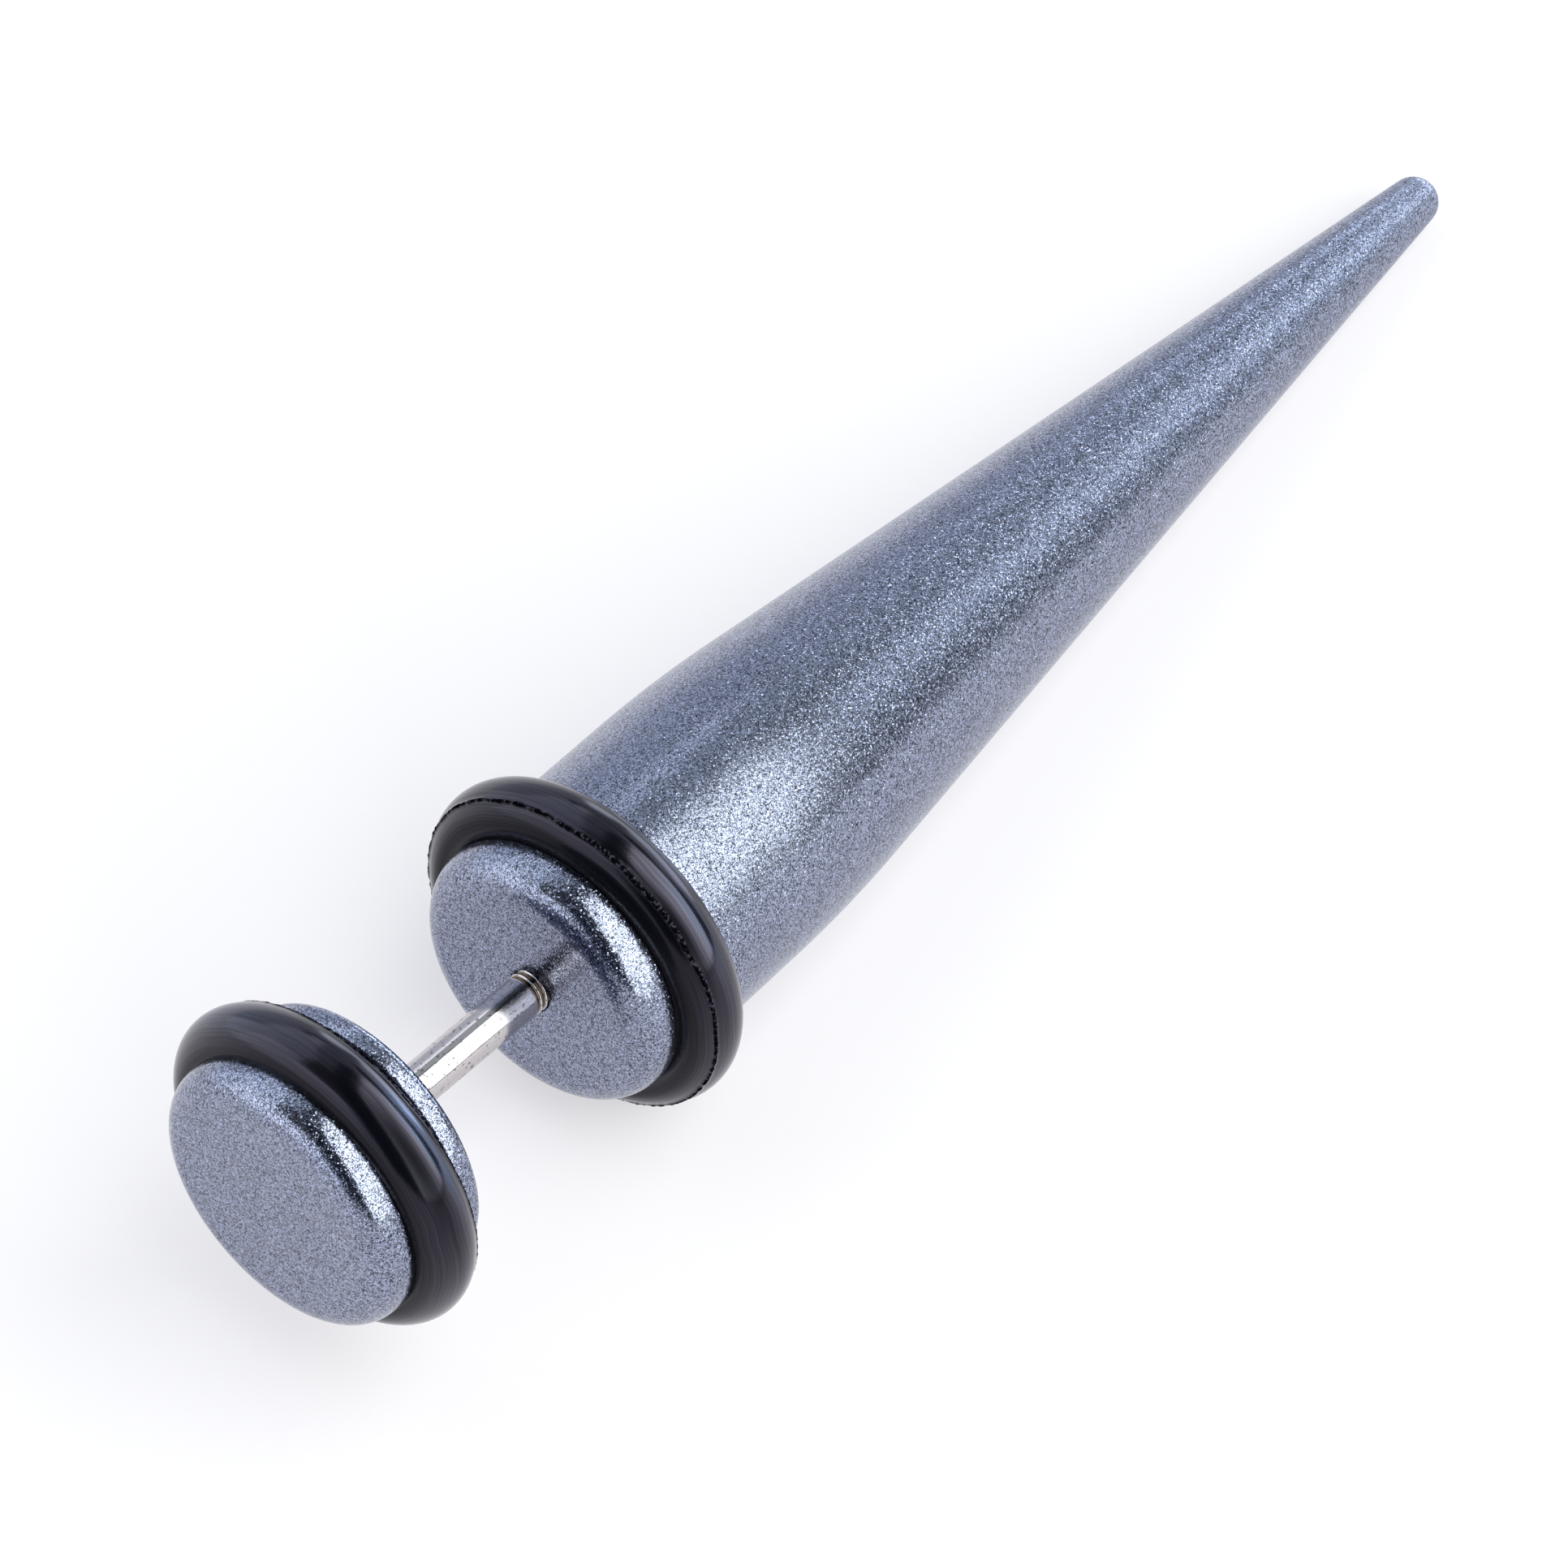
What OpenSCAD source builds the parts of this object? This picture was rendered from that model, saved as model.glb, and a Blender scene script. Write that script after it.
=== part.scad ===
/* [Taper] */
// Length of the spike from its flat face to the end of the nose
taper_len = 43.8; // [30:0.1:60]
// Diameter of the flat face's disc
face_d = 8.0; // [7.6:0.1:9]
// Rounding of the disc's outer edge
face_round = 1.0; // [0.6:0.1:1.1]
// Diameter of the straight part behind the ring
body_d = 8.2; // [8:0.1:8.6]
// Place along the axis where the straight part and the cone would meet
cone_start = 9.3; // [7.5:0.1:11.4]
// Radius of the soft bend between the straight part and the cone
bend_r = 45; // [20:1:60]
// Radius of the rounded nose
nose_r = 0.8; // [0.5:0.1:1.2]

/* [Back] */
// Diameter of the back disc
back_d = 8.0; // [7.6:0.1:9]
// Thickness of the back disc
back_t = 3.65; // [3.4:0.05:5]
// Rounding of the back disc's outer edge
back_round = 0.85; // [0.4:0.05:0.9]

/* [Rings] */
// Thickness of both rubber rings
ring_t = 1.85; // [1.6:0.05:1.9]
// Radius of the taper ring's centre line
taper_ring_r = 4.22; // [4.1:0.02:4.5]
// Place of the taper ring's centre behind the flat face
taper_ring_s = 2.28; // [2.2:0.02:2.6]
// Radius of the back ring's centre line
back_ring_r = 4.0; // [3.9:0.02:4.3]
// Place of the back ring's centre behind the back disc's outer face
back_ring_s = 2.0; // [1.96:0.02:2.24]
// Depth of the flat that the taper ring is pressed to where it rests
ring_flat = 0.03; // [0.01:0.01:0.1]

/* [Post] */
// Diameter of the post that goes through the ear
post_d = 1.2; // [1:0.1:1.6]
// Length of the bare post when it is screwed home
wear_len = 6.0; // [5:0.5:12]
// How far the post is screwed out, as it lies
unscrewed = 0.35; // [0.1:0.05:1]
// Length of the post's thread
thread_len = 3.0; // [2:0.1:4]
// Thread pitch
thread_pitch = 0.2; // [0.15:0.05:0.3]
// Depth of the thread
thread_depth = 0.1; // [0.05:0.01:0.12]
// Sideways lean of the post in its hole, in degrees
post_lean = 1.6; // [0:0.1:2]

/* [Hidden] */
$fn = 96;

// Gap left between two pieces that are seated on each other
seat_gap = 0.02;
// Gap round the thread, which slides out of its hole
thread_gap = 0.03;
// Small roundings at the edges of the grooves and of the back's inner face
groove_round = 0.2;
back_inner_round = 0.3;
lip_round = 0.12;
// The thin end of the post that is held in the back disc
spigot_r = 0.4;
spigot_len = 2.0;

face_r = face_d / 2;
body_r = body_d / 2;
back_r = back_d / 2;
post_r = post_d / 2;
ring_r = ring_t / 2;
groove_half = ring_r + seat_gap;

// The nose is a ball, and the cone touches both the ball and the straight part's end
nose_s = taper_len - nose_r;
cone_run = nose_s - cone_start;
cone_a = acos(nose_r / norm([body_r, cone_run])) - atan2(cone_run, body_r);
bend_reach = bend_r * tan(cone_a / 2);
bend_s = cone_start - bend_reach;
bend_end_s = bend_s + bend_r * sin(cone_a);
bend_end_r = body_r - bend_r * (1 - cos(cone_a));

// The piece lies on the taper ring and on the nose, so its axis slopes down to the nose
rest_r = ring_r - ring_flat;
lie_run = nose_s - taper_ring_s;
lie_a = acos((nose_r - rest_r) / norm([taper_ring_r, lie_run])) - atan2(lie_run, taper_ring_r);
face_z = taper_ring_s * sin(lie_a) + taper_ring_r * cos(lie_a) + rest_r;

// Places along the axis, counted from the flat face towards the nose
back_in_s = -(wear_len + unscrewed);
back_out_s = back_in_s - back_t;
back_ring_at = back_out_s + back_ring_s;
post_tip_s = thread_len - unscrewed;
hole_depth = thread_len + 0.2;

// The middle of the whole length is put over the origin
front_x = nose_s * cos(lie_a) + nose_r;
rear_edge_s = back_out_s + back_round;
rear_edge_r = back_r - back_round;
rear_x = rear_edge_s * cos(lie_a) - rear_edge_r * sin(lie_a) - back_round;
face_x = -(front_x + rear_x) / 2;

// A quarter of a rounded edge in the profile, on the side that way names: -1 below, 1 above
module quarter(at, r, way) {
    intersection() {
        translate(at) circle(r = r);
        translate([at[0], way < 0 ? at[1] - r : at[1]]) square(r);
    }
}

// A plain shaft's profile from place s0 to s1
module shaft(r, s0, s1) {
    translate([0, s0]) square([r, s1 - s0]);
}

// The rounded end of a disc's profile at place s, with the end on the side that way names
module rounded_end(r, s, round_r, way) {
    inner_s = s - way * round_r;
    shaft(r - round_r, min(s, inner_s), max(s, inner_s));
    quarter([r - round_r, inner_s], round_r, way);
}

// The profile of a disc from place s0 to s1, with its two edges rounded
module slab(r, s0, s1, round0, round1) {
    rounded_end(r, s0, round0, -1);
    shaft(r, s0 + round0, s1 - round1);
    rounded_end(r, s1, round1, 1);
}

// The profile behind the ring: straight part, soft bend, cone and ball nose
module spike() {
    body_s = taper_ring_s + groove_half;
    rounded_end(body_r, body_s, groove_round, -1);
    shaft(body_r, body_s + groove_round, bend_s);
    intersection() {
        translate([body_r - bend_r, bend_s]) circle(r = bend_r, $fn = 1440);
        translate([0, bend_s]) square([body_r, bend_end_s - bend_s]);
    }
    polygon([
        [0, bend_end_s],
        [bend_end_r, bend_end_s],
        [nose_r * cos(cone_a), nose_s + nose_r * sin(cone_a)],
        [0, nose_s + nose_r * sin(cone_a)]
    ]);
    intersection() {
        translate([0, nose_s]) circle(r = nose_r);
        translate([0, nose_s]) square(nose_r);
    }
}

// Lays a body turned about Z along the spike's axis, as the piece lies
module on_axis() {
    translate([face_x, 0, face_z]) rotate([0, 90 + lie_a, 0]) children();
}

// The same, along the leaning axis of the post
module on_post() {
    translate([face_x, 0, face_z])
        rotate([0, 0, -post_lean])
            rotate([0, 90 + lie_a, 0]) children();
}

// A round rubber ring about the axis at place s
module o_ring(centre_r, s) {
    translate([0, 0, s]) rotate_extrude() translate([centre_r, 0]) circle(r = ring_r);
}

module taper() {
    color("slategray")
    difference() {
        on_axis() rotate_extrude() {
            slab(face_r, 0, taper_ring_s - groove_half, face_round, groove_round);
            shaft(taper_ring_r - groove_half, taper_ring_s - groove_half - 0.01,
                taper_ring_s + groove_half + 0.01);
            spike();
        }
        on_post() translate([0, 0, -1]) cylinder(r = post_r + thread_gap, h = hole_depth + 1);
    }
}

module taper_ring() {
    color("dimgray")
    difference() {
        on_axis() o_ring(taper_ring_r, taper_ring_s);
        translate([face_x, 0, -ring_t]) cube([4 * body_r, 4 * body_r, 2 * ring_t], center = true);
    }
}

module post() {
    thread_s = post_tip_s - thread_len;
    turns = floor(thread_len / thread_pitch);
    color("silver")
    on_post() rotate_extrude() {
        shaft(spigot_r, back_in_s - spigot_len, back_in_s + seat_gap);
        shaft(post_r, back_in_s + seat_gap, thread_s);
        polygon(concat(
            [[0, thread_s]],
            [for (i = [0 : turns - 1]) each [
                [post_r, thread_s + i * thread_pitch],
                [post_r - thread_depth, thread_s + (i + 0.5) * thread_pitch]
            ]],
            [[post_r - thread_depth, thread_s + turns * thread_pitch],
             [0, thread_s + turns * thread_pitch]]
        ));
    }
}

module back_disc() {
    color("slategray")
    on_post() difference() {
        rotate_extrude() {
            slab(back_r, back_out_s, back_ring_at - groove_half, back_round, lip_round);
            shaft(back_ring_r - groove_half, back_ring_at - groove_half - 0.01,
                back_ring_at + groove_half + 0.01);
            slab(back_r, back_ring_at + groove_half, back_in_s, lip_round, back_inner_round);
        }
        translate([0, 0, back_in_s - spigot_len - seat_gap])
            cylinder(r = spigot_r + seat_gap, h = spigot_len + 1);
    }
}

module back_ring() {
    color("dimgray") on_post() o_ring(back_ring_r, back_ring_at);
}

taper();
taper_ring();
post();
back_disc();
back_ring();
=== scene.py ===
import math

import bpy
import numpy as np
from mathutils import Matrix


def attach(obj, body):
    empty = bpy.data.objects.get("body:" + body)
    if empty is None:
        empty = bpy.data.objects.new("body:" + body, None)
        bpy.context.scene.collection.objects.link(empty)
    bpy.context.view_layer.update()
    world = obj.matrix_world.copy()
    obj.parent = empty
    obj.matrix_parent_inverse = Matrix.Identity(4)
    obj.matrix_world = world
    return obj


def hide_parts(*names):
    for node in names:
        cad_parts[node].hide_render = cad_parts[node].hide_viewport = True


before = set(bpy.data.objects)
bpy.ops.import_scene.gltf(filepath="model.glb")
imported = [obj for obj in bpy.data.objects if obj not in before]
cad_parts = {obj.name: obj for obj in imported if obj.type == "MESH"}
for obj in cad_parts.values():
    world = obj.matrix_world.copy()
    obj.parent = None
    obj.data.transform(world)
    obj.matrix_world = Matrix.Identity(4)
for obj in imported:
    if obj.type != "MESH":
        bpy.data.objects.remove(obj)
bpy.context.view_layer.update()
mm = 0.001

# How the earring lies, in millimetres and degrees: on the flat of its front ring and on its nose.
lay = {
    "taperLen": 43.8,
    "noseR": 0.8,
    "ringHalf": 0.925,
    "ringCentreR": 4.22,
    "ringS": 2.28,
    "ringFlat": 0.03,
    "wearLen": 6.0,
    "unscrewed": 0.35,
    "postLean": 1.6,
    "seatGap": 0.02,
    "backLen": 3.65,
    "backR": 4.0,
    "backRound": 0.85,
}
poleR = 0.02  # radius of the first row round a closed end


# The slope puts the nose's ball and the ring's flattened underside on the surface together, and the middle
# of the whole length over the origin. Returns the slope and the centre of the taper's flat face, in mm.
def lieOfAxis(size):
    restR = size["ringHalf"] - size["ringFlat"]
    noseS = size["taperLen"] - size["noseR"]
    run = noseS - size["ringS"]
    reach = math.hypot(size["ringCentreR"], run)
    slope = math.acos((size["noseR"] - restR) / reach) - math.atan2(run, size["ringCentreR"])
    height = size["ringS"] * math.sin(slope) + size["ringCentreR"] * math.cos(slope) + restR
    outerS = -(size["wearLen"] + size["unscrewed"]) - size["backLen"]
    frontX = noseS * math.cos(slope) + size["noseR"]
    edgeR = size["backR"] - size["backRound"]
    rearX = (outerS + size["backRound"]) * math.cos(slope) - edgeR * math.sin(slope) - size["backRound"]
    return slope, np.array([-(frontX + rearX) / 2, 0.0, height])


slope, faceCentre = lieOfAxis(lay)


# The axis as three directions: along it to the nose, up across it and sideways across it, all turned about
# the vertical by the lean.
def axisTurned(leanDeg):
    lean = math.radians(-leanDeg)
    turn = np.array([
        [math.cos(lean), -math.sin(lean), 0.0],
        [math.sin(lean), math.cos(lean), 0.0],
        [0.0, 0.0, 1.0],
    ])
    along = np.array([math.cos(slope), 0.0, -math.sin(slope)])
    up = np.array([math.sin(slope), 0.0, math.cos(slope)])
    return turn @ along, turn @ up, turn @ np.array([0.0, 1.0, 0.0])


taperAxis = axisTurned(0.0)
postAxis = axisTurned(lay["postLean"])


# Point = face centre + s * along + r * (cos(turn) * up + sin(turn) * side), in metres.
def pointsRound(axis, s, r, turn):
    along, up, side = axis
    ray = np.cos(turn)[..., None] * up + np.sin(turn)[..., None] * side
    return (faceCentre + s[..., None] * along + r[..., None] * ray) * mm


# A straight stretch of a profile as (s, r) rows, with a row close to each end so that corners shade crisply.
def stretch(start, end, count=2, hold=0.012):
    start, end = np.array(start, float), np.array(end, float)
    t = np.linspace(0, 1, count)
    near = hold / max(np.linalg.norm(end - start), hold * 4)
    t = np.unique(np.concatenate([t, [near, 1 - near]]))
    return start + t[:, None] * (end - start)


# A rounded stretch of a profile: centre + radius * (cos(angle), sin(angle)) in (s, r).
def bow(centre, radius, fromDeg, toDeg, count=12):
    t = np.radians(np.linspace(fromDeg, toDeg, count))
    return np.stack([centre[0] + radius * np.cos(t), centre[1] + radius * np.sin(t)], 1)


# Profile pieces end to end, without rows that repeat a point.
def joined(*parts):
    rows = np.concatenate(parts)
    keep = np.concatenate([[True], np.linalg.norm(np.diff(rows, axis=0), axis=1) > 1e-6])
    return rows[keep]


# Puts a grid of points into a mesh: rows run along the profile and columns round the axis. The last column
# joins the first; closedRows joins the last row to the first, and otherwise both end rows are single poles.
# Its UV map holds millimetres round and along, and each extra field becomes a point attribute.
def meshFromGrid(name, points, roundMm, alongMm, closedRows=False, fields=None):
    rows, cols = points.shape[:2]
    nextCol = (np.arange(cols) + 1) % cols
    index = np.arange(rows * cols).reshape(rows, cols)
    if closedRows:
        here, there = index, np.roll(index, -1, axis=0)
        quads = np.stack([here, there, there[:, nextCol], here[:, nextCol]], -1).reshape(-1, 4)
        used = points.reshape(-1, 3)
        fans = np.zeros((0, 3), int)
        cellRow, cellCol = np.meshgrid(np.arange(rows), np.arange(cols), indexing="ij")
    else:
        inner = index[1:-1] - cols
        here, there = inner[:-1], inner[1:]
        quads = np.stack([here, there, there[:, nextCol], here[:, nextCol]], -1).reshape(-1, 4)
        first, last = inner.size, inner.size + 1
        starts = np.stack([np.full(cols, first), inner[0], inner[0][nextCol]], -1)
        ends = np.stack([inner[-1], np.full(cols, last), inner[-1][nextCol]], -1)
        fans = np.concatenate([starts, ends])
        used = np.concatenate([points[1:-1].reshape(-1, 3), points[:1, 0], points[-1:, 0]])
        cellRow, cellCol = np.meshgrid(np.arange(1, rows - 2), np.arange(cols), indexing="ij")
    corners = np.concatenate([quads.ravel(), fans.ravel()])
    sizes = np.concatenate([np.full(len(quads), 4), np.full(len(fans), 3)])
    mesh = bpy.data.meshes.new(name)
    mesh.vertices.add(len(used))
    mesh.vertices.foreach_set("co", used.astype(np.float32).ravel())
    mesh.loops.add(len(corners))
    mesh.loops.foreach_set("vertex_index", corners.astype(np.int32))
    mesh.polygons.add(len(sizes))
    starts = np.concatenate([[0], np.cumsum(sizes)[:-1]])
    mesh.polygons.foreach_set("loop_start", starts.astype(np.int32))
    mesh.update(calc_edges=True)
    mesh.polygons.foreach_set("use_smooth", np.ones(len(sizes), bool))
    cellRow, cellCol = cellRow.ravel(), cellCol.ravel()
    rowOf = np.stack([cellRow, cellRow + 1, cellRow + 1, cellRow], -1)
    colOf = np.stack([cellCol, cellCol, cellCol + 1, cellCol + 1], -1)
    alongAll = np.append(alongMm, alongMm[-1] + (alongMm[-1] - alongMm[-2]))
    uv = np.stack([colOf / cols * roundMm, alongAll[rowOf]], -1).reshape(-1, 2)
    if not closedRows:
        fanCol = np.arange(cols)
        mid = (fanCol + 0.5) / cols * roundMm
        left, right = fanCol / cols * roundMm, (fanCol + 1) / cols * roundMm
        headUv = np.stack([mid, left, right], -1)
        headV = np.broadcast_to([alongMm[0], alongMm[1], alongMm[1]], (cols, 3))
        tailUv = np.stack([left, mid, right], -1)
        tailV = np.broadcast_to([alongMm[-2], alongMm[-1], alongMm[-2]], (cols, 3))
        fanUv = np.concatenate([np.stack([headUv, headV], -1), np.stack([tailUv, tailV], -1)])
        uv = np.concatenate([uv, fanUv.reshape(-1, 2)])
    layer = mesh.uv_layers.new(name="surface")
    layer.data.foreach_set("uv", uv.astype(np.float32).ravel())
    for field, values in (fields or {}).items():
        inner = values if closedRows else values[1:-1]
        poles = [] if closedRows else [values[0, 0], values[-1, 0]]
        flat = np.append(inner.ravel(), poles)
        mesh.attributes.new(field, "FLOAT", "POINT").data.foreach_set("value", flat.astype(np.float32))
    mesh.validate()
    piece = bpy.data.objects.new(name, mesh)
    bpy.context.scene.collection.objects.link(piece)
    return piece


# The turn of each column of a grid, in radians.
def turnsRound(count):
    return (np.arange(count) / count * 2 + 1) * np.pi


# Distance along the profile in millimetres, row by row.
def lengthAlong(profile):
    steps = np.linalg.norm(np.diff(profile, axis=0), axis=1)
    return np.concatenate([[0.0], np.cumsum(steps)])


# A coated profile of (s, r) rows turned round an axis. Its first holeRows rows are a hole that lies along a
# second axis. Within mouthReach of the flat face they are shifted so that the mouth is level with it.
def turnedPiece(name, axis, profile, around, body, node, holeAxis=None, holeRows=0, mouthReach=0.3):
    s, turns = np.meshgrid(profile[:, 0], turnsRound(around), indexing="ij")
    r = np.broadcast_to(profile[:, 1][:, None], s.shape)
    points = pointsRound(axis, s, r, turns)
    if holeRows:
        hole = pointsRound(holeAxis, s[:holeRows], r[:holeRows], turns[:holeRows])
        over = (points[:holeRows] - hole) @ axis[0]
        level = np.clip(1 - s[:holeRows] / mouthReach, 0, 1)
        points[:holeRows] = hole + (over * level)[..., None] * axis[0]
    piece = meshFromGrid(name, points, 2 * np.pi * profile[:, 1].max(), lengthAlong(profile))
    return dressed(piece, body, node, coatPaint)


# Gives a piece its material and its body, and hides its node's part.
def dressed(piece, body, node, material):
    piece.data.materials.append(material)
    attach(piece, body)
    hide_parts(node)
    return piece


# Sets a node's inputs by name or index, or links the ones that are given as a socket.
def feed(tree, node, inputs):
    for key, value in inputs.items():
        if isinstance(value, bpy.types.NodeSocket):
            tree.links.new(value, node.inputs[key])
        else:
            node.inputs[key].default_value = value


# A new node with its settings and inputs.
def addNode(tree, kind, inputs, **settings):
    node = tree.nodes.new(kind)
    for key, value in settings.items():
        setattr(node, key, value)
    feed(tree, node, inputs)
    return node


# A new material with its Principled shader, as (material, tree, shader).
def newMaterial(name):
    material = bpy.data.materials.new(name)
    material.use_nodes = True
    tree = material.node_tree
    return material, tree, tree.nodes["Principled BSDF"]


# A socket's value moved from one range to another.
def ranged(tree, value, low, high, newLow=0.0, newHigh=1.0):
    inputs = {"Value": value, 1: low, 2: high, 3: newLow, 4: newHigh}
    return addNode(tree, "ShaderNodeMapRange", inputs).outputs[0]


# The outcome of a sum with two numbers, each a socket or a constant.
def worked(tree, operation, one, other):
    return addNode(tree, "ShaderNodeMath", {0: one, 1: other}, operation=operation).outputs[0]


# The same for vectors.
def workedVector(tree, operation, one, other):
    return addNode(tree, "ShaderNodeVectorMath", {0: one, 1: other}, operation=operation).outputs[0]


# One colour where a socket is 0 and the other where it is 1. Each is three numbers or a socket.
def blended(tree, share, one, other):
    ends = [end if isinstance(end, bpy.types.NodeSocket) else (*end, 1) for end in (one, other)]
    inputs = {"Factor": share, 6: ends[0], 7: ends[1]}
    return addNode(tree, "ShaderNodeMix", inputs, data_type="RGBA").outputs[2]


# A noise over a coordinate, from 0 to 1.
def noiseOver(tree, place, scale, detail, bend=0.0):
    inputs = {"Vector": place, "Scale": scale, "Detail": detail, "Distortion": bend}
    return addNode(tree, "ShaderNodeTexNoise", inputs, normalize=True).outputs["Fac"]


# The normal of a relief of some height, on top of another normal if one is given.
def reliefOf(tree, pattern, height, under=None):
    inputs = {"Strength": 1.0, "Distance": height, "Height": pattern}
    if under is not None:
        inputs["Normal"] = under
    return addNode(tree, "ShaderNodeBump", inputs).outputs[0]


# A mesh's coordinates, stretched across and along.
def stretched(tree, place, across, along):
    return addNode(tree, "ShaderNodeMapping", {"Vector": place, "Scale": (across, along, 1.0)}).outputs[0]


# A field that the mesh carries at its points.
def fieldOf(tree, name):
    return addNode(tree, "ShaderNodeAttribute", {}, attribute_name=name).outputs["Fac"]


coatLook = {
    "dark": (0.008, 0.010, 0.016),
    "bright": (0.446, 0.488, 0.654),
    "roughness": 0.226,
    "discRoughness": 0.185,
    "discTo": -0.0160,
    "bodyFrom": -0.0130,
    "noseRoughness": 0.38,
    "noseFrom": 0.0215,
    "noseTo": 0.0258,
    "flakeScale": 30000.0,
    "flakeTilt": 0.76,
    "tiltPower": 3.0,
    "peelScale": 4200.0,
    "peelDetail": 1.0,
    "peelHeight": 0.0000016,
    "strokeScale": 19000.0,
    "strokeDetail": 1.0,
    "strokeBend": 1.6,
    "strokeEdge": (0.42, 0.58),
    "flakeShare": 0.22,
}


# Blue-grey metallic paint. Each cell of a fine Voronoi pattern is a flake. A random number of its own,
# raised to a power so that few flakes stand far off, times its random colour less the middle value tilts
# the flake. Crooked strokes of a distorted noise, mixed with another random number of the flake, give the
# colour. A noise relief is the orange peel of the clear paint over it. The paint is a little sharper on the
# discs, behind the ring's place along X, and duller on the nose.
def coatMaterial(look):
    material, tree, shader = newMaterial("coat_flake_paint")
    place = addNode(tree, "ShaderNodeTexCoord", {}).outputs["Object"]
    cells = {"Vector": place, "Scale": look["flakeScale"]}
    flakes = addNode(tree, "ShaderNodeTexVoronoi", cells, feature="F1").outputs["Color"]
    chance = addNode(tree, "ShaderNodeTexWhiteNoise", {"Vector": flakes}, noise_dimensions="3D")
    parts = addNode(tree, "ShaderNodeSeparateColor", {"Color": chance.outputs["Color"]})
    amount = worked(tree, "POWER", parts.outputs[0], look["tiltPower"])
    centred = workedVector(tree, "SUBTRACT", flakes, (0.5, 0.5, 0.5))
    scaled = {0: centred, "Scale": ranged(tree, amount, 0.0, 1.0, 0.0, look["flakeTilt"])}
    tilt = addNode(tree, "ShaderNodeVectorMath", scaled, operation="SCALE").outputs[0]
    peel = reliefOf(tree, noiseOver(tree, place, look["peelScale"], look["peelDetail"]), look["peelHeight"])
    tilted = workedVector(tree, "ADD", tilt, peel)
    facing = addNode(tree, "ShaderNodeVectorMath", {0: tilted}, operation="NORMALIZE").outputs[0]
    strokes = noiseOver(tree, place, look["strokeScale"], look["strokeDetail"], look["strokeBend"])
    ends = {0: look["flakeShare"], 2: ranged(tree, strokes, *look["strokeEdge"]), 3: parts.outputs[1]}
    share = addNode(tree, "ShaderNodeMix", ends, data_type="FLOAT").outputs[0]
    ahead = addNode(tree, "ShaderNodeSeparateXYZ", {"Vector": place}).outputs["X"]
    plain = ranged(tree, ahead, look["discTo"], look["bodyFrom"], look["discRoughness"], look["roughness"])
    feed(tree, shader, {
        "Base Color": blended(tree, share, look["dark"], look["bright"]),
        "Normal": facing,
        "Metallic": 1.0,
        "Roughness": ranged(tree, ahead, look["noseFrom"], look["noseTo"], plain, look["noseRoughness"]),
    })
    return material


rubberLook = {
    "colour": (0.0016, 0.0016, 0.0028),
    "crumbColour": (0.034, 0.033, 0.045),
    "gleam": (0.78, 0.74, 1.0),
    # Painted highlight: the reflection turns to this bluer tint where the ring's painted highlight field
    # rises through the range below.
    "paintedHighlightTint": (0.52, 0.64, 1.0),
    "paintedHighlightEdge": (1.1, 2.0),
    "specular": 0.64,
    "roughness": 0.17,
    "dust": 0.08,
    "dustTint": (0.80, 0.75, 1.0, 1.0),
    "dustRoughness": 0.36,
    "uneven": 0.4,
    "streakAlong": 0.22,
    "streakAcross": 22.0,
    "streakDetail": 4.0,
    "streakRange": (0.30, 0.70),
    "streakHeight": 0.0000012,
    "grainScale": 16000.0,
    "grainDetail": 2.0,
    "grainRange": (0.35, 0.65),
    "grainHeight": 0.0000009,
    "crumbScale": 9000.0,
    "crumbDetail": 1.0,
    "crumbEdge": (0.54, 0.62),
    "crumbRidge": (0.10, 0.30),
    "dullRidge": (0.12, 0.5),
}


# Black rubber. A point attribute of painted highlights and painted shade scales how strongly it mirrors, and
# where that attribute is high the reflection is tinted bluer as a painted highlight; streaks run round the
# ring in its UV map and a fine grain covers it. Dust is a faint sheen, thicker where the grain is high. The
# mould line, a point attribute too, is black and dull, with pale crumbs on it where a noise is high.
def rubberMaterial(look):
    material, tree, shader = newMaterial("ring_black_rubber")
    coord = addNode(tree, "ShaderNodeTexCoord", {})
    place = coord.outputs["Object"]
    wrapped = stretched(tree, coord.outputs["UV"], look["streakAlong"], look["streakAcross"])
    streaks = noiseOver(tree, wrapped, 1.0, look["streakDetail"])
    grain = noiseOver(tree, place, look["grainScale"], look["grainDetail"])
    lumps = noiseOver(tree, place, look["crumbScale"], look["crumbDetail"])
    line = fieldOf(tree, "mouldLine")
    paintedHighlightShade = fieldOf(tree, "paintedHighlightShade")
    least, most = 1 - look["uneven"], 1 + look["uneven"]
    streaky = ranged(tree, streaks, *look["streakRange"], least * look["specular"], most * look["specular"])
    dusty = ranged(tree, grain, *look["grainRange"], least * look["dust"], most * look["dust"])
    offLine = ranged(tree, line, *look["dullRidge"], 1.0, 0.0)
    onLine = ranged(tree, line, *look["crumbRidge"])
    crumbs = worked(tree, "MULTIPLY", onLine, ranged(tree, lumps, *look["crumbEdge"]))
    # The reflection strength carries the ring's painted highlights and painted shade.
    mirror = worked(tree, "MULTIPLY", paintedHighlightShade, streaky)
    # Painted highlight: the share of the bluer reflection tint, from the painted highlight field.
    highlightTintShare = ranged(tree, paintedHighlightShade, *look["paintedHighlightEdge"])
    feed(tree, shader, {
        "Base Color": blended(tree, crumbs, look["colour"], look["crumbColour"]),
        "Specular IOR Level": worked(tree, "MULTIPLY", mirror, offLine),
        "Specular Tint": blended(tree, highlightTintShare, look["gleam"], look["paintedHighlightTint"]),
        "Roughness": look["roughness"],
        "Sheen Weight": worked(tree, "MULTIPLY", dusty, offLine),
        "Sheen Tint": look["dustTint"],
        "Sheen Roughness": look["dustRoughness"],
        "Normal": reliefOf(tree, grain, look["grainHeight"], reliefOf(tree, streaks, look["streakHeight"])),
    })
    return material


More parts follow.
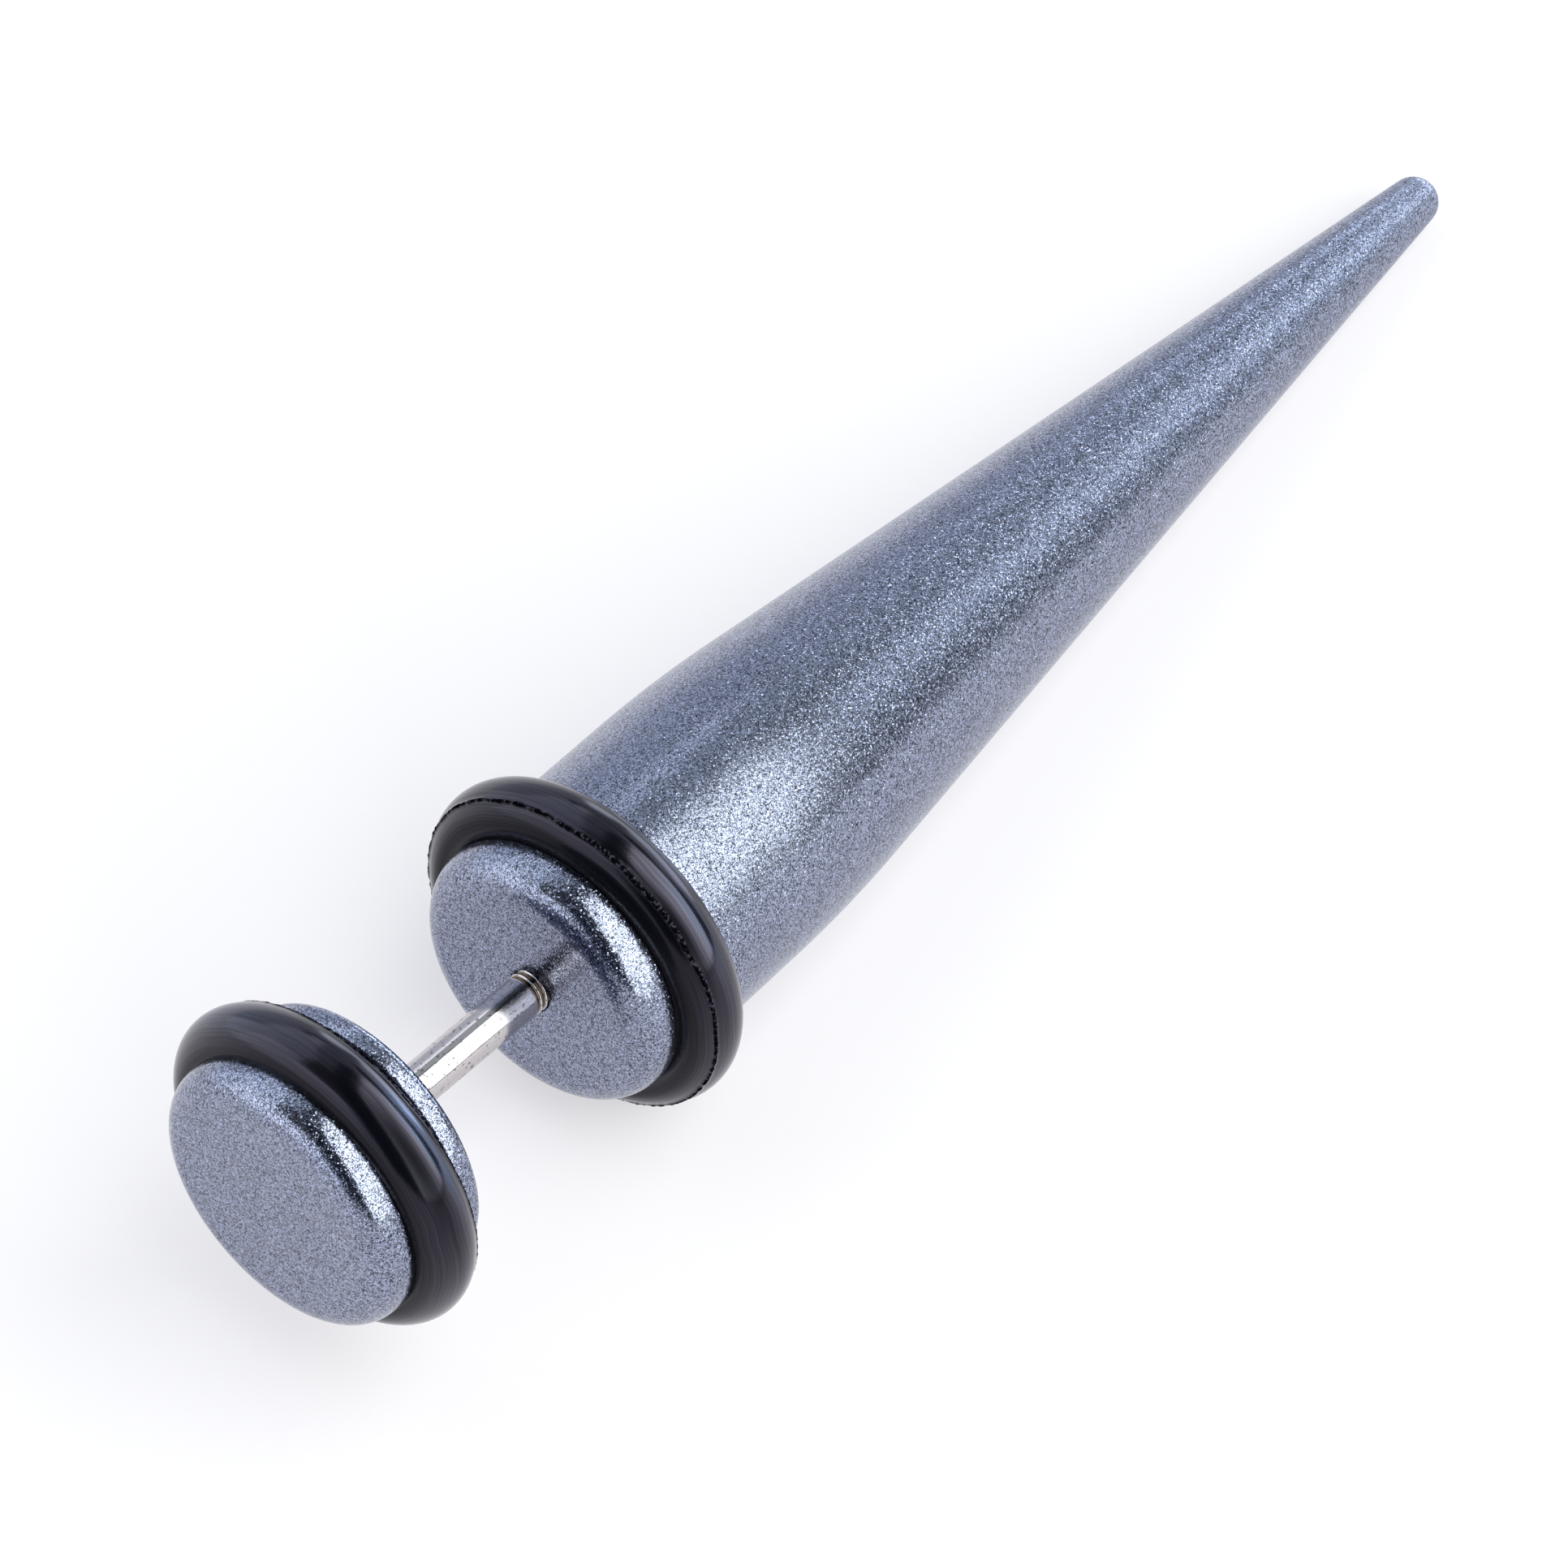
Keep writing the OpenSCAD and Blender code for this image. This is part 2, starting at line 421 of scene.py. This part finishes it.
steelLook = {
    "colour": (0.530, 0.500, 0.510),
    # Painted shade: the thread's grooves are coloured dark brown.
    "grooveShadeColour": (0.085, 0.062, 0.048),
    "grooveShadeEdge": (0.15, 0.6),
    "pitColour": (0.16, 0.145, 0.14),
    "pitEdge": (0.60, 0.70),
    "roughness": 0.12,
    "pitRoughness": 0.4,
    "pitRoughEdge": (0.60, 0.74),
    "drawnAlong": 0.5,
    "drawnAcross": 9.0,
    "drawnDetail": 3.0,
    "drawnHeight": 0.0000018,
    "pitScale": 9000.0,
    "pitDetail": 2.0,
}


# Polished steel wire: faint drawing marks run along it in its UV map, and a few dull dark pits lie on it. The
# thread's grooves, a point attribute, are painted dark brown as painted shade.
def steelMaterial(look):
    material, tree, shader = newMaterial("post_drawn_steel")
    coord = addNode(tree, "ShaderNodeTexCoord", {})
    wrapped = stretched(tree, coord.outputs["UV"], look["drawnAcross"], look["drawnAlong"])
    marks = noiseOver(tree, wrapped, 1.0, look["drawnDetail"])
    specks = noiseOver(tree, coord.outputs["Object"], look["pitScale"], look["pitDetail"])
    pitted = blended(tree, ranged(tree, specks, *look["pitEdge"]), look["colour"], look["pitColour"])
    # Painted shade: the colour turns dark brown in the thread's grooves.
    grooveShadeShare = ranged(tree, fieldOf(tree, "groove"), *look["grooveShadeEdge"])
    feed(tree, shader, {
        "Base Color": blended(tree, grooveShadeShare, pitted, look["grooveShadeColour"]),
        "Metallic": 1.0,
        "Roughness": ranged(tree, specks, *look["pitRoughEdge"], look["roughness"], look["pitRoughness"]),
        "Normal": reliefOf(tree, marks, look["drawnHeight"]),
    })
    return material


coatPaint = coatMaterial(coatLook)
blackRubber = rubberMaterial(rubberLook)
drawnSteel = steelMaterial(steelLook)
print("materials made")

taperSize = {
    "faceR": 4.0,
    "faceRound": 1.0,
    "bodyR": 4.1,
    "coneStart": 9.3,
    "bendR": 45.0,
    "grooveRound": 0.2,
    "holeR": 0.63,
    "holeDepth": 3.2,
    "mouthBevel": 0.05,
    "noseSkin": 0.003,
    "coneRows": 110,
    "around": 224,
}


# The spike's profile from the bottom of its hole out over the flat face, through the ring's groove, along
# the body, round the bend, down the cone and over the ball of the nose, which is a skin smaller than the
# solid's.
def taperProfile(size):
    noseR = lay["noseR"] - size["noseSkin"]
    noseS = lay["taperLen"] - lay["noseR"]
    run = noseS - size["coneStart"]
    bodyR, bendR = size["bodyR"], size["bendR"]
    cone = math.acos(noseR / math.hypot(bodyR, run)) - math.atan2(run, bodyR)
    bendS = size["coneStart"] - bendR * math.tan(cone / 2)
    half = lay["ringHalf"] + lay["seatGap"]
    floorR = lay["ringCentreR"] - half
    wallA, wallB = lay["ringS"] - half, lay["ringS"] + half
    faceR, faceRound, lip = size["faceR"], size["faceRound"], size["grooveRound"]
    mouthR = size["holeR"] + size["mouthBevel"]
    coneDeg = math.degrees(cone)
    return joined(
        [[size["holeDepth"], 0.0]],
        stretch((size["holeDepth"], poleR), (size["holeDepth"], size["holeR"])),
        stretch((size["holeDepth"], size["holeR"]), (size["mouthBevel"], size["holeR"]), 12),
        stretch((size["mouthBevel"], size["holeR"]), (0.0, mouthR)),
        stretch((0.0, mouthR), (0.0, faceR - faceRound), 14),
        bow((faceRound, faceR - faceRound), faceRound, 180, 90, 22),
        bow((wallA - lip, faceR - lip), lip, 90, 0, 8),
        stretch((wallA, faceR - lip), (wallA, floorR), 3),
        stretch((wallA, floorR), (wallB, floorR), 3),
        stretch((wallB, floorR), (wallB, bodyR - lip), 3),
        bow((wallB + lip, bodyR - lip), lip, 180, 90, 8),
        stretch((wallB + lip, bodyR), (bendS, bodyR), 10),
        bow((bendS, bodyR - bendR), bendR, 90, 90 - coneDeg, 14),
        stretch(
            (bendS + bendR * math.sin(cone), bodyR - bendR * (1 - math.cos(cone))),
            (noseS + noseR * math.sin(cone), noseR * math.cos(cone)),
            size["coneRows"],
        ),
        bow((noseS, 0.0), noseR, 90 - coneDeg, 0, 16),
    )


profile = taperProfile(taperSize)
holeRows = int(np.argmax(profile[:, 0] == 0.0)) + 1
turnedPiece("coated_taper", taperAxis, profile, taperSize["around"], "front", "taper", postAxis, holeRows)
print("taper turned")

backSize = {
    "skin": 0.002,
    "innerRound": 0.3,
    "lipRound": 0.12,
    "ringCentreR": 4.0,
    "ringS": 2.0,
    "spigotR": 0.42,
    "spigotDepth": 2.02,
    "around": 224,
}
backInnerS = -(lay["wearLen"] + lay["unscrewed"])
backOuterS = backInnerS - lay["backLen"]
backRingS = backOuterS + backSize["ringS"]


# The back's profile from its outer face's middle over its edge, through the ring's groove, over the inner
# edge and into the hole for the post's thin end. Its rim is a skin smaller than the solid's.
def backProfile(size):
    half = lay["ringHalf"] + lay["seatGap"]
    floorR = size["ringCentreR"] - half
    wallA, wallB = backRingS - half, backRingS + half
    outR = lay["backR"] - size["skin"]
    edge, lip, inner = lay["backRound"], size["lipRound"], size["innerRound"]
    bottom = backInnerS - size["spigotDepth"]
    return joined(
        [[backOuterS, 0.0]],
        stretch((backOuterS, poleR), (backOuterS, outR - edge), 16),
        bow((backOuterS + edge, outR - edge), edge, 180, 90, 22),
        bow((wallA - lip, outR - lip), lip, 90, 0, 6),
        stretch((wallA, outR - lip), (wallA, floorR), 3),
        stretch((wallA, floorR), (wallB, floorR), 3),
        stretch((wallB, floorR), (wallB, outR - lip), 3),
        bow((wallB + lip, outR - lip), lip, 180, 90, 6),
        bow((backInnerS - inner, outR - inner), inner, 90, 0, 10),
        stretch((backInnerS, outR - inner), (backInnerS, size["spigotR"]), 14),
        stretch((backInnerS, size["spigotR"]), (bottom, size["spigotR"]), 4),
        stretch((bottom, size["spigotR"]), (bottom, poleR)),
        [[bottom, 0.0]],
    )


turnedPiece("coated_back", postAxis, backProfile(backSize), backSize["around"], "back", "back_disc")
print("back turned")

# Both rings: the grid, how close its rows are at the mould line, and the line's ragged waves.
ringSize = {
    "around": 420,
    "across": 104,
    "lineRows": 0.12,
    "lineWaves": (3, 26),
    "lineWidth": 0.070,
    "raggedWaves": (30, 200),
    "ragged": 0.34,
    "bareWide": 30.0,
    "dullest": 0.05,
}
frontRingSize = {
    "askewDeg": (1.6, -0.5),
    "lineDeg": -38.0,
    "lineWave": 2.2,
    "lineHeight": 0.070,
    # Painted highlight and painted shade on the ring's reflection: positive patches paint a highlight,
    # negative ones paint shade.
    "paintedLightPatches": (
        (0.0, 999.0, -82.0, 32.0, -0.85),
        (-43.0, 30.0, -30.0, 20.0, -0.9),
        (-44.0, 22.0, 0.0, 16.0, 0.9),
        (-5.0, 32.0, 34.0, 26.0, -0.75),
    ),
    "bareTurn": None,
    "seed": 11,
    "skin": 0.002,
}
backRingSize = {
    "askewDeg": (2.3, 0.0),
    "lineDeg": 45.0,
    "lineWave": 1.8,
    "lineHeight": 0.060,
    # Painted highlight and painted shade on the ring's reflection: positive patches paint a highlight,
    # negative ones paint shade.
    "paintedLightPatches": (
        (0.0, 999.0, -82.0, 32.0, -0.85),
        (-43.0, 34.0, -18.0, 22.0, -0.9),
        (-42.0, 19.0, 16.0, 13.0, 2.8),
        (-8.0, 30.0, 38.0, 26.0, -0.75),
        (48.0, 34.0, -5.0, 45.0, 0.6),
    ),
    "bareTurn": 90.0,
    "seed": 29,
    "skin": 0.016,
}


# A smooth random wave round a ring, from -1 to 1: a sum of cosines of whole numbers of turns with random
# heights and starts.
def waveRound(turn, lowest, highest, seed):
    chance = np.random.default_rng(seed)
    turns = np.arange(lowest, highest + 1)
    height = chance.normal(size=len(turns)) / np.sqrt(turns)
    start = chance.uniform(0, 2 * np.pi, len(turns))
    wave = (height[:, None] * np.cos(turns[:, None] * turn + start[:, None])).sum(0)
    return wave / np.abs(wave).max()


# An axis tipped by two small angles: its along direction gains the tangents of them times up and side.
def tippedAxis(axis, upDeg, sideDeg):
    along, up, side = axis
    tipped = along + math.tan(math.radians(upDeg)) * up + math.tan(math.radians(sideDeg)) * side
    tipped /= np.linalg.norm(tipped)
    above = up - (up @ tipped) * tipped
    above /= np.linalg.norm(above)
    return tipped, above, np.cross(above, tipped)


# How strongly each point of a ring mirrors: patches of painted highlight raise it and patches of painted
# shade lower it, as on the band next to the disc. A patch is its turn, width in turn, section angle, width in
# section angle and how much it adds at its middle; a width of 999 takes in the whole turn.
def ringPaintedHighlightShade(turn, angle, paintedLightPatches):
    paintedHighlightShade = np.ones_like(angle)
    for turnDeg, turnWide, sectionDeg, sectionWide, more in paintedLightPatches:
        fromTurn = (np.degrees(turn) - turnDeg + 180) % 360 - 180
        fromSection = np.degrees(angle) - sectionDeg
        paintedHighlightShade = paintedHighlightShade + more * np.exp(-((fromTurn / turnWide) ** 2) - (fromSection / sectionWide) ** 2)
    return np.maximum(paintedHighlightShade, ringSize["dullest"])


# A rubber ring: centre line radius + section radius * cos(angle), with the angle counted from the mould
# line, where the rows are closest and the section radius gains a ragged ridge. The line is bare round
# bareTurn. The ring sits a little askew, and a skin thinner than the solid keeps it inside the solid's box.
def ringPiece(name, axis, centreR, centreS, size, flatUnder, body, node):
    turn = turnsRound(ringSize["around"])
    even = np.arange(ringSize["across"]) / ringSize["across"] * 2 - 1
    fromLine = np.pi * (ringSize["lineRows"] * even + (1 - ringSize["lineRows"]) * even**3)
    wander = size["lineWave"] * waveRound(turn, *ringSize["lineWaves"], size["seed"])
    rough = waveRound(turn, *ringSize["raggedWaves"], size["seed"] + 1)
    ragged = 1 - ringSize["ragged"] + ringSize["ragged"] * rough
    if size["bareTurn"] is not None:
        fromBare = (np.degrees(turn) - 360 - size["bareTurn"]) / ringSize["bareWide"]
        ragged = ragged * (1 - np.exp(-(fromBare**4)))
    ridge = np.exp(-((fromLine[:, None] * lay["ringHalf"] / ringSize["lineWidth"]) ** 2)) * ragged
    section = lay["ringHalf"] - size["skin"] + size["lineHeight"] * ridge
    angle = fromLine[:, None] + np.radians(size["lineDeg"] + wander)
    r = centreR + section * np.cos(angle)
    s = section * np.sin(angle)
    askew = tippedAxis(axis, *size["askewDeg"])
    points = pointsRound(askew, s, r, np.broadcast_to(turn, r.shape)) + centreS * axis[0] * mm
    if flatUnder:
        points[..., 2] = np.maximum(points[..., 2], 0.0)
    along = (fromLine + np.pi) * lay["ringHalf"]
    # The ring carries its painted highlight and shade as a point field for the rubber's reflection.
    fields = {"mouldLine": ridge, "paintedHighlightShade": ringPaintedHighlightShade(turn, angle, size["paintedLightPatches"])}
    piece = meshFromGrid(name, points, 2 * np.pi * centreR, along, True, fields)
    return dressed(piece, body, node, blackRubber)


frontPlace = (taperAxis, lay["ringCentreR"], lay["ringS"])
backPlace = (postAxis, backSize["ringCentreR"], backRingS)
ringPiece("rubber_ring_front", *frontPlace, frontRingSize, True, "front", "taper_ring")
ringPiece("rubber_ring_back", *backPlace, backRingSize, False, "back", "back_ring")
print("rings swept")

postSize = {
    "r": 0.6,
    "threadLen": 3.0,
    "pitch": 0.2,
    "threadDepth": 0.11,
    "cutPower": 0.7,
    "runIn": 0.35,
    "crestR": 0.62,
    "crestRise": 0.04,
    "tipR": 0.30,
    "tipStep": 0.0001,
    "chamfer": 0.12,
    "chamferLen": 0.15,
    "spigotR": 0.4,
    "spigotLen": 2.0,
    "shoulder": 0.03,
    "threadRows": 300,
    "around": 96,
}


# The post: its thin end, a shoulder, the bare shaft and the thread, whose depth is a cosine of the place
# along the axis less the turn, in pitches, so that its crest climbs as a screw's does. A power below 1
# makes the crests narrow. The thread runs in over part of a pitch, and its tip is chamfered.
def postPiece(size):
    r, spigotR, shoulder = size["r"], size["spigotR"], size["shoulder"]
    tipS = size["threadLen"] - lay["unscrewed"]
    threadS = -lay["unscrewed"]
    shoulderS = backInnerS + lay["seatGap"]
    rearS = backInnerS - size["spigotLen"]
    rear = joined(
        [[rearS, 0.0]],
        stretch((rearS, poleR), (rearS, spigotR)),
        stretch((rearS, spigotR), (shoulderS, spigotR), 4),
        stretch((shoulderS, spigotR), (shoulderS, r - shoulder)),
        stretch((shoulderS, r - shoulder), (shoulderS + shoulder, r)),
        stretch((shoulderS + shoulder, r), (threadS, r), 30),
    )
    threadRows = np.linspace(threadS, tipS, size["threadRows"])[1:]
    tip = np.array([[tipS + size["tipStep"], size["tipR"]], [tipS + size["tipStep"], 0.0]])
    s = np.concatenate([rear[:, 0], threadRows, tip[:, 0]])
    crest = r + (size["crestR"] - r) * np.clip((threadRows - threadS) / size["crestRise"], 0, 1)
    plainR = np.concatenate([rear[:, 1], crest, tip[:, 1]])
    turn = turnsRound(size["around"])
    fromStart = s[:, None] - threadS
    phase = fromStart / size["pitch"] - turn / (2 * np.pi)
    dip = (0.5 - 0.5 * np.cos(2 * np.pi * phase)) ** size["cutPower"]
    started = np.clip(fromStart / (size["runIn"] * size["pitch"]), 0, 1)
    inThread = (s[:, None] > threadS) & (s[:, None] <= tipS)
    groove = dip * started * inThread
    nearTip = np.clip((s[:, None] - (tipS - size["chamferLen"])) / size["chamferLen"], 0, 1)
    radii = plainR[:, None] - size["threadDepth"] * groove - size["chamfer"] * nearTip * inThread
    turns = np.broadcast_to(turn, radii.shape)
    points = pointsRound(postAxis, np.broadcast_to(s[:, None], radii.shape), radii, turns)
    along = lengthAlong(np.stack([s, plainR], 1))
    piece = meshFromGrid("steel_post", points, 2 * np.pi * r, along, False, {"groove": groove})
    return dressed(piece, "back", "post", drawnSteel)


postPiece(postSize)
print("post turned")

floorLook = {
    "half": 0.9,
    "below": 0.00001,
    "colour": (0.400, 0.390, 0.400),
    "fibre": 0.985,
    "fibreScale": 1800.0,
    "fibreDetail": 3.0,
    "glow": (0.484, 0.477, 0.494),
    "roughness": 0.9,
}


# A mesh of corners and faces as a stage piece.
def stageSheet(name, corners, faces, material):
    mesh = bpy.data.meshes.new(name)
    mesh.from_pydata(corners, [], faces)
    mesh.materials.append(material)
    sheet = bpy.data.objects.new(name, mesh)
    bpy.context.scene.collection.objects.link(sheet)
    return sheet


# A plain pale level sheet just under the earring, with a faint fibre in its colour. A little light comes
# through it.
def floorSheet(look):
    material, tree, shader = newMaterial("floor_paper")
    place = addNode(tree, "ShaderNodeTexCoord", {}).outputs["Object"]
    fibre = noiseOver(tree, place, look["fibreScale"], look["fibreDetail"])
    darker = [look["fibre"] * part for part in look["colour"]]
    feed(tree, shader, {
        "Base Color": blended(tree, fibre, darker, look["colour"]),
        "Roughness": look["roughness"],
        "Emission Color": (*look["glow"], 1),
        "Emission Strength": 1.0,
    })
    material.cycles.emission_sampling = "NONE"
    half, z = look["half"], -look["below"]
    corners = [(-half, -half, z), (half, -half, z), (half, half, z), (-half, half, z)]
    stageSheet("floor_sheet", corners, [[0, 1, 2, 3]], material)


floorSheet(floorLook)

# The studio round the earring is an even pale tent with curved sheets in it. A sheet is centred on a
# direction (azimuth from +X towards +Y, elevation) and reaches so many degrees sideways and up or down. The
# softbox and the black rim behind it lean, so their four corners are given. Each sheet lies on a ball so many
# metres in radius and shines with its light.
studio = {
    "tent": (1.19, 1.29, 1.40),
    "sheets": {
        "far_wall": {"at": (147, 16), "reach": (33, 26), "away": 2.0, "light": (1.7, 1.75, 1.8)},
        "front_wall": {"at": (46, 14), "reach": (36, 19), "away": 1.9, "light": (0.65, 0.7, 0.8)},
        "low_lamp": {"at": (4, 4), "reach": (24, 15), "away": 1.8, "light": (3.95, 4.35, 4.85)},
        "gap_card": {"at": (-3, 41), "reach": (38, 7), "away": 1.7, "light": (0.04, 0.04, 0.04)},
        "end_card": {"at": (25, 48), "reach": (13, 13), "away": 1.6, "light": (1.6, 1.65, 1.8)},
        "top_card": {"at": (101, 82), "reach": (79, 14), "away": 1.5, "light": (0.5, 0.55, 0.6)},
        "side_card": {"at": (164, 54), "reach": (17, 18), "away": 1.4, "light": (0.12, 0.12, 0.13)},
        "box_rim": {
            "corners": ((-164, -10), (-40, -4), (18, 63), (-197, 65)),
            "away": 0.55, "light": (0.01, 0.02, 0.04),
        },
        "softbox": {
            "corners": ((-132, 2), (-60, 4), (-6, 52), (-139, 73)),
            "away": 0.5, "light": (3.4, 3.5, 3.35),
        },
    },
    "cells": 28,
    "lampCells": 8,
    "sampledFrom": 2.0,
}


# A unit vector by its azimuth and elevation in degrees.
def direction(azimuth, elevation):
    a, e = math.radians(azimuth), math.radians(elevation)
    return np.array([math.cos(e) * math.cos(a), math.cos(e) * math.sin(a), math.sin(e)])


# Corner = centre +- tan(reach) across +- tan(reach) up, on a plane square to the sheet's direction.
def sheetCorners(sheet):
    if "corners" in sheet:
        return [direction(*corner) for corner in sheet["corners"]]
    azimuth, elevation = sheet["at"]
    centre, across = direction(azimuth, elevation), direction(azimuth + 90, 0)
    upward = np.cross(centre, across)
    wide, high = [math.tan(math.radians(reach)) for reach in sheet["reach"]]
    ways = ((-1, -1), (1, -1), (1, 1), (-1, 1))
    return [centre + side * wide * across + rise * high * upward for side, rise in ways]


# Point = away * unit(mix of the four corner directions), the mix being bilinear in the two places across and
# up the sheet, so that its edges are great circles.
def curvedSheet(name, corners, away, cells, material):
    step = np.linspace(0, 1, cells + 1)
    across, up = step[:, None, None], step[None, :, None]
    a, b, c, d = corners
    mix = (1 - across) * (1 - up) * a + across * (1 - up) * b + across * up * c + (1 - across) * up * d
    points = away * mix / np.linalg.norm(mix, axis=-1, keepdims=True)
    index = np.arange((cells + 1) ** 2).reshape(cells + 1, cells + 1)
    quads = np.stack([index[:-1, :-1], index[1:, :-1], index[1:, 1:], index[:-1, 1:]], -1).reshape(-1, 4)
    sheet = stageSheet(name, points.reshape(-1, 3).tolist(), quads.tolist(), material)
    sheet.visible_camera = False


# The tent and its sheets. Only the lamps, which are at least as bright as sampledFrom, are aimed at as light
# sources; they need fewer cells.
def studioSheets(look):
    world = bpy.data.worlds.new("studio")
    bpy.context.scene.world = world
    world.use_nodes = True
    world.node_tree.nodes["Background"].inputs["Color"].default_value = (*look["tent"], 1)
    for name, sheet in look["sheets"].items():
        material = bpy.data.materials.new("light_" + name)
        material.use_nodes = True
        tree = material.node_tree
        tree.nodes.remove(tree.nodes["Principled BSDF"])
        strength = max(sheet["light"])
        tint = [part / strength for part in sheet["light"]]
        glow = addNode(tree, "ShaderNodeEmission", {"Color": (*tint, 1), "Strength": strength})
        feed(tree, tree.nodes["Material Output"], {"Surface": glow.outputs[0]})
        isLamp = strength >= look["sampledFrom"]
        if not isLamp:
            material.cycles.emission_sampling = "NONE"
        cells = look["lampCells"] if isLamp else look["cells"]
        curvedSheet(name, sheetCorners(sheet), sheet["away"], cells, material)


studioSheets(studio)
bpy.context.scene.view_settings.view_transform = "Standard"
print("studio lit")

# The camera stands where the photograph's stood. Its lens is in mm, its angles in degrees, its place in mm
# from the taper's face centre in its own view, and its clipping in metres.
shot = {
    "lens": 121.118,
    "sensor": 36.0,
    "elevation": 51.245,
    "heading": 52.185,
    "right": 6.70,
    "down": 5.45,
    "ahead": 139.07,
    "clip": (0.01, 10.0),
}


# Camera position = face centre + right * R + down * U - ahead * forward, with its axes from the heading and
# the elevation.
def shotCamera(view):
    heading, elevation = math.radians(view["heading"]), math.radians(view["elevation"])
    right = np.array([math.cos(heading), -math.sin(heading), 0.0])
    away = np.array([math.sin(heading), math.cos(heading), 0.0])
    sky = np.array([0.0, 0.0, 1.0])
    forward = away * math.cos(elevation) - sky * math.sin(elevation)
    upward = away * math.sin(elevation) + sky * math.cos(elevation)
    place = faceCentre + view["right"] * right + view["down"] * upward - view["ahead"] * forward
    data = bpy.data.cameras.new("shot")
    data.lens, data.sensor_width = view["lens"], view["sensor"]
    data.clip_start, data.clip_end = view["clip"]
    camera = bpy.data.objects.new("shot", data)
    bpy.context.scene.collection.objects.link(camera)
    pose = Matrix.Identity(4)
    for row in range(3):
        pose[row][0], pose[row][1], pose[row][2] = right[row], upward[row], -forward[row]
        pose[row][3] = place[row] * mm
    camera.matrix_world = pose
    bpy.context.scene.camera = camera


shotCamera(shot)
print("camera set")
